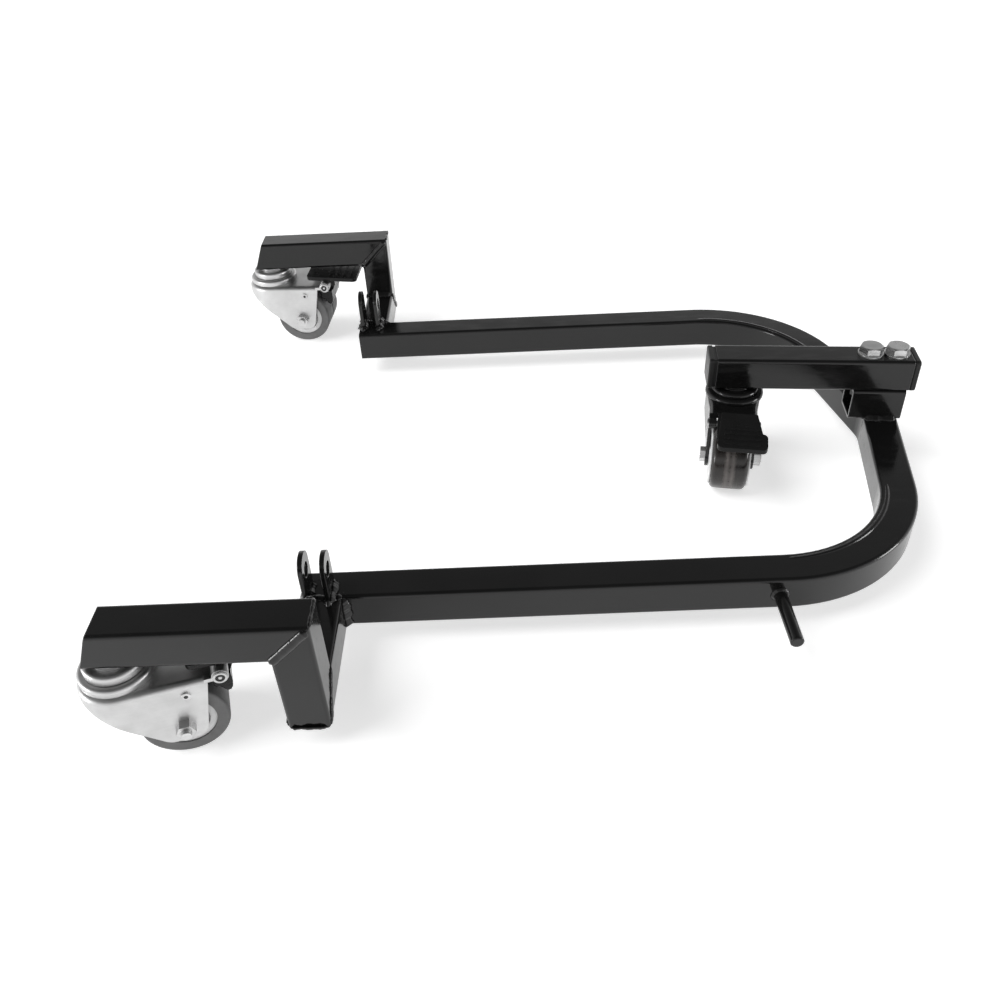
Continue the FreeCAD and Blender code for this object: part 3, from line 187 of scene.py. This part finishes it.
def rubber_finish(name, dark, light, rough, streaked_joint=None):
    """Clouded tyre compound with a fine tooth; the last argument names a wheel joint whose tread gets two lighter
    brownish, duller streaks.
    """
    made = Finish(name, light, rough[0])
    color = made.clouded(dark, light, scale=90.0, detail=6.0, roughness=0.65)
    roughness = made.ramp(made.noise(scale=220.0), *rough)
    if streaked_joint is not None:
        middle = Vector(joints[streaked_joint]["pos_m"])
        # two lighter brownish streaks along the tread, broken up by patches and duller than the rest
        axis = Vector(joints[streaked_joint]["axis"])
        streaks = [made.band(middle + axis * (way * TREAD_STREAK_OFFSET), axis, TREAD_STREAK_HALF) for way in (-1, 1)]
        patches = made.ramp(made.noise(scale=120.0, detail=6.0, roughness=0.7), 0.1, 0.65)
        streak_mask = made.reckon("MULTIPLY", made.reckon("ADD", *streaks), patches)
        color = made.mix(streak_mask, color, (*TREAD_STREAK_COLOR, 1))
        roughness = made.reckon("MULTIPLY_ADD", streak_mask, TREAD_STREAK_DULLNESS, roughness)
    made.set("Base Color", color)
    made.set("Roughness", roughness)
    tooth = made.noise(scale=1600.0, detail=2.0)
    made.set("Normal", made.bump(tooth, strength=0.2, distance=0.08 * MM, below=made.soft_edge(SMALL_EDGE)))
    return made.material


FINISHES = {
    "frame_paint": paint_finish("gloss_black_coating", shade=0.005, rough=(0.10, 0.24)),
    "black_steel": paint_finish("black_caster_coating", shade=0.006, rough=(0.12, 0.26)),
    "zinc_steel": zinc_finish("zinc_plating", dark=0.50, light=0.63, rough=(0.34, 0.48)),
    "bright_steel": zinc_finish("bright_fastener_plating", dark=0.42, light=0.70, rough=(0.22, 0.40)),
    "cap_plastic": plastic_finish("end_cap_plastic", shade=0.012, rough=(0.30, 0.42),
                                  grain_scale=900.0, grain_depth=0.08 * MM, shine=0.25),
    "pedal_plastic": plastic_finish("pedal_plastic", shade=0.008, rough=(0.22, 0.28),
                                    grain_scale=800.0, grain_depth=0.02 * MM, shine=0.2),
    "hub_plastic": plastic_finish("hub_plastic", shade=0.66, rough=(0.34, 0.46),
                                  grain_scale=700.0, grain_depth=0.06 * MM),
    "grey_tyre": rubber_finish("grey_tyre_rubber", dark=grey(0.10), light=grey(0.13), rough=(0.52, 0.66)),
    "dark_tyre": rubber_finish("dark_tyre_rubber", dark=(0.006, 0.005, 0.005), light=(0.018, 0.015, 0.013),
                               rough=(0.14, 0.30), streaked_joint="tail_wheel_spin"),
}
# the nuts hidden in the spacer get a near-black plating instead of their bright zinc: painted shade for the shade
# they sit in
SHADED_NUT_FINISH = zinc_finish("painted_shade_nut_plating", dark=0.06, light=0.12, rough=(0.45, 0.6))
for item in frame["record"]["subparts"]:
    finish = SHADED_NUT_FINISH if item["node"] == "arm_nuts" else FINISHES[item["material_slot"]]
    for place in frame["nodes"][item["node"]].material_slots:
        place.material = finish


# new objects


def add_object(name, data):
    made = bpy.data.objects.new(name, data)
    bpy.context.scene.collection.objects.link(made)
    return made


def add_piece(name, points, faces, body, slot, bevel=0.0, sharp=None):
    """New smooth mesh, riding on a body; where sharp is given, edges that turn by more degrees stay sharp."""
    mesh = bpy.data.meshes.new(name)
    mesh.from_pydata([tuple(Vector(point) * MM) for point in points], [], faces)
    work = bmesh.new()
    work.from_mesh(mesh)
    bmesh.ops.recalc_face_normals(work, faces=work.faces)
    if bevel:
        bmesh.ops.bevel(work, geom=work.edges, offset=bevel * MM, segments=3, profile=0.5, affect="EDGES")
    work.to_mesh(mesh)
    work.free()
    for face in mesh.polygons:
        face.use_smooth = True
    if sharp is not None:
        mesh.set_sharp_from_angle(angle=math.radians(sharp))
    mesh.materials.append(FINISHES[slot])
    piece = add_object(name, mesh)
    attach(piece, body)


def box(node):
    """Low and high corner of a node."""
    return [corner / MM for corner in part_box(node)]


# weld beads


# length of a ripple, and the rings of points that a bead is made of
BEAD_PITCH = 2.4
RINGS_PER_RIPPLE = 6
FEWEST_STEPS = 8
RING_STEPS = 72
BEAD_SIDES = 9
# depth to which a bead is sunk into what it lies on
BEAD_ROOT = 0.4
# degrees that a bead's section turns through, in a corner and on a flat seam
IN_CORNER = 90
ON_FLAT = 180
# shares of a bead's reach
HOLLOW = 0.22
RIPPLE = 0.035
END_SIZE = 0.35
# slow waves along a bead: share of its reach, radians per millimetre, and shift from bead to bead
WANDERS = ((0.12, 0.37, 1), (0.10, 0.83, 2))
# length over which a bead grows to its full size
END_LENGTH = 2
# share of its height by which a bead over an edge is sunk into it
EDGE_SINK = 0.6
# how far the sides of a swelling lie below the surface
SWELLING_SINK = 0.03
DROP_SIDES = 6
DROP_RADII = (0.25, 0.6)
# height and width of a drop of spatter, in its radii
DROP_PROFILE = ((-0.2, 1.0), (0.45, 0.8), (0.8, 0.35))


class Beads:
    """Collects weld beads into one mesh that rides on the frame."""

    def __init__(self, name):
        self.name = name
        self.points = []
        self.faces = []

    def lay(self, path, reach_a, reach_b, sweep, closed=False, rough=1.0):
        """Rippled bead along (point, side_a, side_b) stations; its section turns from side_a to side_b."""
        first = len(self.points)
        travel = 0.0
        length = sum((path[i + 1][0] - path[i][0]).length for i in range(len(path) - 1))
        for i, (point, side_a, side_b) in enumerate(path):
            if i:
                travel += (point - path[i - 1][0]).length
            edge = 1.0 if closed else min(travel, length - travel) / END_LENGTH
            taper = min(1.0, END_SIZE + (1 - END_SIZE) * edge)
            ripple = RIPPLE * math.cos(2 * math.pi * travel / BEAD_PITCH)
            wander = sum(size * math.sin(travel * pace + shift * first) for size, pace, shift in WANDERS)
            swell = taper * (1 + rough * (ripple + wander))
            for k in range(BEAD_SIDES):
                angle = math.radians(sweep) * k / (BEAD_SIDES - 1)
                hollow = HOLLOW * math.sin(2 * angle) if sweep == IN_CORNER else 0
                arm = side_a * (reach_a * math.cos(angle)) + side_b * (reach_b * math.sin(angle))
                self.points.append(point + arm * (swell * (1 - hollow)))
            root = side_a + side_b if sweep == IN_CORNER else side_b
            self.points.append(point - root * BEAD_ROOT)
        self.skin(first, len(path), BEAD_SIDES + 1, closed)

    def skin(self, first, rings, sides, closed=False):
        """Faces between rings of points, and over both ends unless the rings close up."""
        for i in range(rings - 1):
            for k in range(sides):
                a = first + i * sides + k
                b = first + i * sides + (k + 1) % sides
                self.faces.append((a, b, b + sides, a + sides))
        if not closed:
            last = first + (rings - 1) * sides
            self.faces.append(tuple(range(first, first + sides))[::-1])
            self.faces.append(tuple(range(last, last + sides)))

    def straight(self, start, end, side_a, side_b, reach_a, reach_b, sweep, rough=1.0):
        start, end = Vector(start), Vector(end)
        side_a, side_b = Vector(side_a).normalized(), Vector(side_b).normalized()
        steps = max(FEWEST_STEPS, int((end - start).length / BEAD_PITCH * RINGS_PER_RIPPLE))
        path = [(start.lerp(end, i / steps), side_a, side_b) for i in range(steps + 1)]
        self.lay(path, reach_a, reach_b, sweep, rough=rough)

    def corner(self, start, end, face_a, face_b, reach):
        """Fillet bead in the corner between two faces; face_a and face_b point away along them."""
        self.straight(start, end, face_a, face_b, reach, reach, IN_CORNER)

    def seam(self, start, end, across, outward, width, height, rough=1.0):
        """Shallow bead laid over a flush seam."""
        self.straight(start, end, across, outward, width / 2, height, ON_FLAT, rough)

    def edge(self, start, end, across, outward, width, height):
        """Bead laid over the outside edge of a mitre, sunk into it."""
        sink = Vector(outward).normalized() * (height * EDGE_SINK)
        self.seam(Vector(start) - sink, Vector(end) - sink, across, outward, width, height)

    def swelling(self, path, half, height):
        """Smooth rise of the surface along (point, across, outward) stations, fading out all round."""
        first = len(self.points)
        for i, (point, across, outward) in enumerate(path):
            fade = math.sin(math.pi * i / (len(path) - 1))
            for k in range(BEAD_SIDES):
                aside = 1 - 2 * k / (BEAD_SIDES - 1)
                rise = height * fade * math.cos(math.pi * aside / 2) ** 2 - SWELLING_SINK
                self.points.append(point + across * (aside * half) + outward * rise)
            self.points.append(point - outward * BEAD_ROOT)
        self.skin(first, len(path), BEAD_SIDES + 1)

    def ring(self, centre, axis, radius, reach):
        """Fillet bead round the foot of a rod."""
        axis = Vector(axis)
        side = axis.orthogonal().normalized()
        path = []
        for i in range(RING_STEPS + 1):
            radial = Matrix.Rotation(2 * math.pi * i / RING_STEPS, 3, axis) @ side
            path.append((Vector(centre) + radial * radius, radial, axis))
        self.lay(path, reach, reach, IN_CORNER, closed=True)

    def spatter(self, low, high, outward, count, seed):
        """Small drops of weld metal scattered over a flat patch."""
        chance = random.Random(seed)
        across = outward.orthogonal().normalized()
        other = outward.cross(across)
        for _ in range(count):
            spot = Vector([chance.uniform(a, b) for a, b in zip(low, high)])
            radius = chance.uniform(*DROP_RADII)
            first = len(self.points)
            for height, wide in DROP_PROFILE:
                for k in range(DROP_SIDES):
                    turn = 2 * math.pi * k / DROP_SIDES
                    flat = across * math.cos(turn) + other * math.sin(turn)
                    self.points.append(spot + (flat * wide + outward * height) * radius)
            self.skin(first, len(DROP_PROFILE), DROP_SIDES)

    def finish(self):
        add_piece(self.name, self.points, self.faces, "frame", "frame_paint")


# how far short of a tube's rounded corner a bead stops
SHORT = 1.0
SHORT_TOP = 0.6
SHORT_INSIDE = 1.2
SHORT_OUTSIDE = 1.5
# ears: plate, how far short of its sides and past its faces the beads end, and room for spatter
EAR_PLATE = 3.0
EAR_SHORT = 0.3
EAR_PAST = 1
EAR_SPATTER_ASIDE = 6
EAR_SPATTER_AHEAD = 9
# spacer: its turn in plan in degrees, and its beads and spatter, measured from its middle
SPACER_TURN = -5.9
SIDE_BEAD_START = -7
SIDE_BEAD_END = 16
SIDE_BEAD_ASIDE = 11.7
INNER_BEAD = -7.4
INNER_BEAD_HALF = 11
SPACER_SPATTER = ((-8, -18, 0), (12, -15, 0))


def weld_bracket(side, sign):
    """Beads where connector, leg and caster arm of one side meet each other and the U frame."""
    beads = Beads(f"{side}_bracket_welds")
    (x0, _, _), (x1, _, top) = box(f"{side}_leg")
    (_, low_y, z0), (_, high_y, z1) = box(f"{side}_connector")
    arm_y, out_y = (high_y, low_y) if sign < 0 else (low_y, high_y)
    tube = z1 - z0
    in_y = out_y - sign * tube
    under = top - tube
    inner_end = in_y + sign * SHORT_OUTSIDE
    outer_end = out_y - sign * SHORT_OUTSIDE
    # connector to the arm of the U
    beads.seam((x0 + SHORT, arm_y, z1), (x1, arm_y, z1), (0, 1, 0), (0, 0, 1), width=6.0, height=1.5)
    beads.seam((x0 + SHORT, arm_y, z0), (x1, arm_y, z0), (0, 1, 0), (0, 0, -1), width=4.4, height=0.8)
    beads.seam((x0, arm_y, z0 + SHORT), (x0, arm_y, z1 - SHORT), (0, 1, 0), (-1, 0, 0), width=4.4, height=0.9)
    beads.corner((x1, arm_y, z0 + SHORT), (x1, arm_y, z1 - SHORT_TOP), (0, sign, 0), (1, 0, 0), reach=4.6)
    # connector to leg
    start, end = (x0 + SHORT_INSIDE, in_y, z1), (x1 - SHORT_INSIDE, in_y, z1)
    beads.corner(start, end, (0, -sign, 0), (0, 0, 1), reach=4.0)
    for x, way in ((x0, -1), (x1, 1)):
        start, end = (x, in_y, z1), (x, outer_end, z0 + SHORT_OUTSIDE)
        beads.seam(start, end, (0, sign, 1), (way, 0, 0), width=5.0, height=1.1)
    start, end = (x0 + SHORT_OUTSIDE, out_y, z0), (x1 - SHORT_OUTSIDE, out_y, z0)
    beads.edge(start, end, (0, sign, 1), (0, sign, -1), width=5.4, height=1.7)
    # leg to caster arm
    for y, way in ((in_y, -sign), (out_y, sign)):
        start, end = (x0, y, under), (x1 - SHORT_OUTSIDE, y, top - SHORT_OUTSIDE)
        beads.seam(start, end, (1, 0, -1), (0, way, 0), width=6.0, height=2.0, rough=0.2)
    beads.corner((x0, inner_end, under), (x0, outer_end, under), (-1, 0, 0), (0, 0, -1), reach=3.0)
    beads.edge((x1, inner_end, top), (x1, outer_end, top), (1, 0, -1), (1, 0, 1), width=2.6, height=0.8)
    beads.finish()


def weld_ears(side):
    """Beads along the feet of the two ears, with some spatter round them."""
    beads = Beads(f"{side}_ear_welds")
    (x0, y0, z0), (x1, y1, _) = box(f"{side}_clevis_ears")
    for low in (x0, x1 - EAR_PLATE):
        for x, way in ((low, -1), (low + EAR_PLATE, 1)):
            inside = x0 + EAR_PLATE / 2 < x < x1 - EAR_PLATE / 2
            reach = 2.6 if inside else 3.6
            beads.corner((x, y0 + EAR_SHORT, z0), (x, y1 - EAR_SHORT, z0), (way, 0, 0), UP, reach)
        for y, way in ((y0, -1), (y1, 1)):
            start, end = (low - EAR_PAST, y, z0), (low + EAR_PLATE + EAR_PAST, y, z0)
            beads.corner(start, end, (0, way, 0), UP, reach=3.4)
    low, high = (x0, y0 - EAR_SPATTER_ASIDE, z0), (x1 + EAR_SPATTER_AHEAD, y1 + EAR_SPATTER_ASIDE, z0)
    beads.spatter(low, high, UP, count=26, seed=side)
    beads.finish()


def weld_peg():
    """Bead round the foot of the side peg."""
    beads = Beads("peg_weld")
    (x0, _, z0), (x1, y1, z1) = box("side_peg")
    beads.ring(((x0 + x1) / 2, y1, (z0 + z1) / 2), (0, -1, 0), radius=(x1 - x0) / 2, reach=1.8)
    beads.finish()


def weld_spacer():
    """Beads under the spacer where it stands on the cross member, with some spatter beside it."""
    beads = Beads("spacer_welds")
    (x0, y0, z0), (x1, y1, _) = box("spacer_tube")
    middle = Vector(((x0 + x1) / 2, (y0 + y1) / 2, z0))
    turn = Matrix.Rotation(math.radians(SPACER_TURN), 3, "Z")
    along, left = turn @ Vector((1, 0, 0)), turn @ Vector((0, 1, 0))
    for way in (-1, 1):
        aside = left * (way * SIDE_BEAD_ASIDE)
        start, end = middle + along * SIDE_BEAD_START + aside, middle + along * SIDE_BEAD_END + aside
        beads.corner(start, end, left * way, UP, reach=3.8)
    inner, half = middle + along * INNER_BEAD, left * INNER_BEAD_HALF
    beads.corner(inner - half, inner + half, -along, (0, 0, -1), reach=2.8)
    low, high = [middle + Vector(offset) for offset in SPACER_SPATTER]
    beads.spatter(low, high, UP, count=9, seed="spacer")
    beads.finish()


# corner bends of the U: radius of the tube's middle, X where they start, and degrees that they turn
BEND_RADIUS = 99.5
BEND_START = 143.3
BEND_TURN = 79.6
BEND_STEPS = 60
# swelling along a bend: its crest from the tube's inner face, half its width, and its height
CREST_INSET = 4.6
CREST_HALF = 2.2
CREST_HEIGHT = 0.45


def mark_bend(side, sign):
    """The swollen edge that bending leaves along the inside of a corner of the U, on its top face."""
    mark = Beads(f"{side}_bend_mark")
    (_, y0, z0), (_, y1, z1) = box("u_tube")
    tube = z1 - z0
    centre = Vector((BEND_START, sign * ((y1 - y0 - tube) / 2 - BEND_RADIUS), z1))
    crest = BEND_RADIUS - tube / 2 + CREST_INSET
    path = []
    for i in range(BEND_STEPS + 1):
        turn = math.radians(90 - BEND_TURN * i / BEND_STEPS)
        radial = Vector((math.cos(turn), sign * math.sin(turn), 0))
        path.append((centre + radial * crest, radial, UP))
    mark.swelling(path, CREST_HALF, CREST_HEIGHT)
    mark.finish()


for side, sign in SIDES:
    weld_bracket(side, sign)
    weld_ears(side)
    mark_bend(side, sign)
weld_peg()
weld_spacer()


# caster details


# degrees of turn above which an edge of a turned or straight piece stays sharp
SHARP = 38
# loops of (radius, height) round an axis; the rim's radii are shares of the brake pin's head
PIN_RIM = ((0.62, -0.2), (0.92, -0.2), (0.92, 0.3), (0.84, 0.5), (0.68, 0.5), (0.62, 0.3))
PIN_BOSS = ((0, -0.2), (1.1, -0.2), (1.1, 0.2), (0.9, 0.4), (0, 0.4))
# dark discs of painted shade, standing in for the shadow in the gap round the pin's boss and in the rivets'
# dimples: the gap disc's share of the pin's head, the dimple disc's radius, and where they start and end
PIN_SHADE_SHARE = 0.63
DIMPLE_SHADE_RADIUS = 1.2
EYE_SHADE_FOOT = -0.2
DIMPLE_SHADE_FOOT = -0.3
DISC_TOP = 0.04
HUB_FLANGE = ((7.7, 12.2), (17.0, 12.2), (17.3, 13.2), (21.4, 13.2), (21.8, 13.6), (21.8, 14.3),
              (21.4, 14.7), (18.6, 14.9), (17.2, 14.3), (12.0, 13.9), (7.7, 13.9))
FLANGE_STEPS = 64
# section of the lip under a twin caster's brake shoe, along the caster and up from the axle
SHOE_LIP = ((22.5, 19.2), (22.5, 17.7), (24.6, 15.3), (26.7, 12.3), (28.8, 12.7), (30.2, 15.0), (30.8, 19.2))
SHOE_HALF = 16.4
SHOE_BEVEL = 0.5
# radius of the brake pin's heads
TWIN_PIN_HEAD = 4.2
TAIL_PIN_HEAD = 3.8


def lathe(name, centre, axis, profiles, body, slot, steps=40):
    """Turned piece; each profile is a loop of (radius, height), and radius 0 closes it at the axis."""
    axis = axis.normalized()
    side = axis.orthogonal().normalized()
    other = axis.cross(side)
    points, faces = [], []
    for profile in profiles:
        rings = []
        for radius, height in profile:
            turns = steps if radius else 1
            rings.append(range(len(points), len(points) + turns))
            for k in range(turns):
                turn = 2 * math.pi * k / steps
                flat = side * math.cos(turn) + other * math.sin(turn)
                points.append(centre + flat * radius + axis * height)
        for low, high in zip(rings, rings[1:] + rings[:1]):
            for k in range(steps):
                corners = ((low, k), (low, k + 1), (high, k + 1), (high, k))
                loop = list(dict.fromkeys(ring[step % len(ring)] for ring, step in corners))
                if len(loop) > 2:
                    faces.append(loop)
    add_piece(name, points, faces, body, slot, sharp=SHARP)


def disc(radius, foot):
    """Profile of a disc that starts below a surface and ends just above it."""
    return ((0, foot), (radius, foot), (radius, DISC_TOP), (0, DISC_TOP))


def prism(name, corners, low, high, bevel, body, slot):
    """Straight bar; corners are points of its section, low and high are its ends as offsets from them."""
    count = len(corners)
    points = [corner + low for corner in corners] + [corner + high for corner in corners]
    faces = [list(range(count)), list(range(count, 2 * count))]
    for k in range(count):
        after = (k + 1) % count
        faces.append([k, after, count + after, count + k])
    add_piece(name, points, faces, body, slot, bevel, SHARP)


def joint_place(name):
    return Vector(joints[name]["pos_m"]) / MM


def joint_axis(name):
    return Vector(joints[name]["axis"])


def dress_pin(caster, head):
    """Rolled rims on the ends of the brake pin, with a dark disc of painted shade in the gap round each boss."""
    pivot = joint_place(f"{caster}_brake_press")
    across = joint_axis(f"{caster}_wheel_spin")
    body = f"{caster}_caster"
    rim = [(share * head, height) for share, height in PIN_RIM]
    pin = frame["nodes"][f"{caster}_brake_pin"].data.vertices
    reaches = [vertex.co.dot(across) / MM for vertex in pin]
    for (end, way), reach in zip(ENDS, (min(reaches), max(reaches))):
        spot = pivot + across * (reach - pivot.dot(across))
        lathe(f"{caster}_pin_rim_{end}", spot, across * way, (rim, PIN_BOSS), body, "bright_steel")
        # a black disc of painted shade over the gap between the pin's boss and its rim
        painted_eye_shade = disc(head * PIN_SHADE_SHARE, EYE_SHADE_FOOT)
        lathe(f"{caster}_pin_eye_shade_{end}", spot, across * way, (painted_eye_shade,), body, "black_steel")


def dress_twin(caster):
    """Dark discs of painted shade where the rivets' dimples are, and a lip under the brake shoe of a twin caster.
    """
    across = joint_axis(f"{caster}_wheel_spin")
    rivets = [vertex.co / MM for vertex in frame["nodes"][f"{caster}_leg_rivets"].data.vertices]
    middle = sum(rivets, Vector()) / len(rivets)
    # flat black discs on the rivet ends: painted shade for dimples that are not shaped
    dimple_shade = disc(DIMPLE_SHADE_RADIUS, DIMPLE_SHADE_FOOT)
    for end, way in ENDS:
        spot = middle + across * (way * max((point - middle).dot(across) * way for point in rivets))
        lathe(f"{caster}_rivet_dimple_shade_{end}", spot, across * way, (dimple_shade,), f"{caster}_caster", "black_steel")
    axle = joint_place(f"{caster}_wheel_spin")
    along = across.cross(UP)
    corners = [axle + along * ahead + UP * above for ahead, above in SHOE_LIP]
    low, high = across * -SHOE_HALF, across * SHOE_HALF
    prism(f"{caster}_shoe_lip", corners, low, high, SHOE_BEVEL, f"{caster}_brake", "pedal_plastic")


def dress_tail_wheel():
    """White flanges of the tail wheel's hub, standing just proud of the tyre's sides."""
    axle = joint_place("tail_wheel_spin")
    across = joint_axis("tail_wheel_spin")
    for end, way in ENDS:
        name = f"tail_hub_flange_{end}"
        lathe(name, axle, across * way, (HUB_FLANGE,), "tail_wheel", "hub_plastic", FLANGE_STEPS)


for side, _ in SIDES:
    dress_pin(side, TWIN_PIN_HEAD)
    dress_twin(side)
dress_pin("tail", TAIL_PIN_HEAD)
dress_tail_wheel()


# camera, floor and light


# camera's place, its turns in radians and its focal length in pixels
CAMERA_PLACE = (-30.3, -609.6, 449.1)
YAW = -0.0153
PITCH = 0.6681
ROLL = 0.0497
FOCAL_PIXELS = 937.61
IMAGE_PIXELS = 1000
SENSOR_WIDTH = 36.0
# in metres
NEAREST_SEEN = 0.01
FLOOR_HALF = 8.0
# how far up a direction points, 0 level and 1 straight up, and the surround's shade there
SURROUND = ((0.0, 1.0), (0.37, 1.0), (0.46, 0.42), (0.56, 0.27), (0.68, 0.24), (0.75, 0.12), (1.0, 0.10))
SUN_POWER = 1.9
SUN_SPREAD = 40
SUN_WAY = (0.62, 0.10, -0.78)
# name, place and side in metres, and power of each panel
PANELS = (("right_panel", (1.5, -0.3, 0.22), 0.40, 6.0), ("left_panel", (-1.4, -0.45, 0.16), 0.30, 5.0))


def look_through_camera():
    """Camera where the photograph was taken from, worked out from the straight tube edges."""
    forward = Vector((math.sin(YAW) * math.cos(PITCH), math.cos(YAW) * math.cos(PITCH), -math.sin(PITCH)))
    level = Vector((math.cos(YAW), -math.sin(YAW), 0))
    down = forward.cross(level)
    right = level * math.cos(ROLL) + down * math.sin(ROLL)
    below = down * math.cos(ROLL) - level * math.sin(ROLL)
    data = bpy.data.cameras.new("photo_camera")
    data.sensor_width = SENSOR_WIDTH
    data.lens = FOCAL_PIXELS / IMAGE_PIXELS * data.sensor_width
    data.clip_start = NEAREST_SEEN
    camera = add_object("photo_camera", data)
    axes = Matrix((right, -below, -forward)).transposed().to_4x4()
    axes.translation = Vector(CAMERA_PLACE) * MM
    camera.matrix_world = axes
    bpy.context.scene.camera = camera


def lay_floor():
    """White table that glows faintly, so that the part throws only soft shadows on it."""
    mesh = bpy.data.meshes.new("floor")
    corners = [(x * FLOOR_HALF, y * FLOOR_HALF, 0) for x, y in ((-1, -1), (1, -1), (1, 1), (-1, 1))]
    mesh.from_pydata(corners, [], [(0, 1, 2, 3)])
    floor = add_object("floor", mesh)
    made = Finish("pale_floor", grey(0.80), 0.6)
    made.fix("Specular IOR Level", 0.1)
    made.fix("Emission Color", (*grey(1.0), 1))
    made.fix("Emission Strength", 0.55)
    mesh.materials.append(made.material)


def hang_surround():
    """White surround that darkens with height."""
    world = bpy.data.worlds.new("studio")
    bpy.context.scene.world = world
    world.use_nodes = True
    tree = world.node_tree
    background = tree.nodes["Background"]
    place = tree.nodes.new("ShaderNodeTexCoord")
    split = tree.nodes.new("ShaderNodeSeparateXYZ")
    tree.links.new(place.outputs["Generated"], split.inputs["Vector"])
    ramp = tree.nodes.new("ShaderNodeValToRGB")
    tree.links.new(split.outputs["Z"], ramp.inputs["Fac"])
    elements = ramp.color_ramp.elements
    while len(elements) < len(SURROUND):
        elements.new(0.5)
    for element, (height, shade) in zip(elements, SURROUND):
        element.position = height
        element.color = (*grey(shade), 1)
    tree.links.new(ramp.outputs["Color"], background.inputs["Color"])
    background.inputs["Strength"].default_value = 1.0


def facing(way):
    """Turn of a light that shines that way."""
    return way.to_track_quat("-Z", "Y").to_euler()


def hang_lights():
    """A soft light from the upper left, which no gloss mirrors, and a small square panel on either side."""
    sun = bpy.data.lights.new("soft_light", "SUN")
    sun.energy = SUN_POWER
    sun.angle = math.radians(SUN_SPREAD)
    light = add_object("soft_light", sun)
    light.rotation_euler = facing(Vector(SUN_WAY))
    light.visible_glossy = False
    for name, place, side, power in PANELS:
        panel = bpy.data.lights.new(name, "AREA")
        panel.energy = power
        panel.size = side
        light = add_object(name, panel)
        light.location = place
        light.rotation_euler = facing(-light.location)


look_through_camera()
lay_floor()
hang_surround()
hang_lights()
bpy.context.scene.view_settings.view_transform = "Standard"
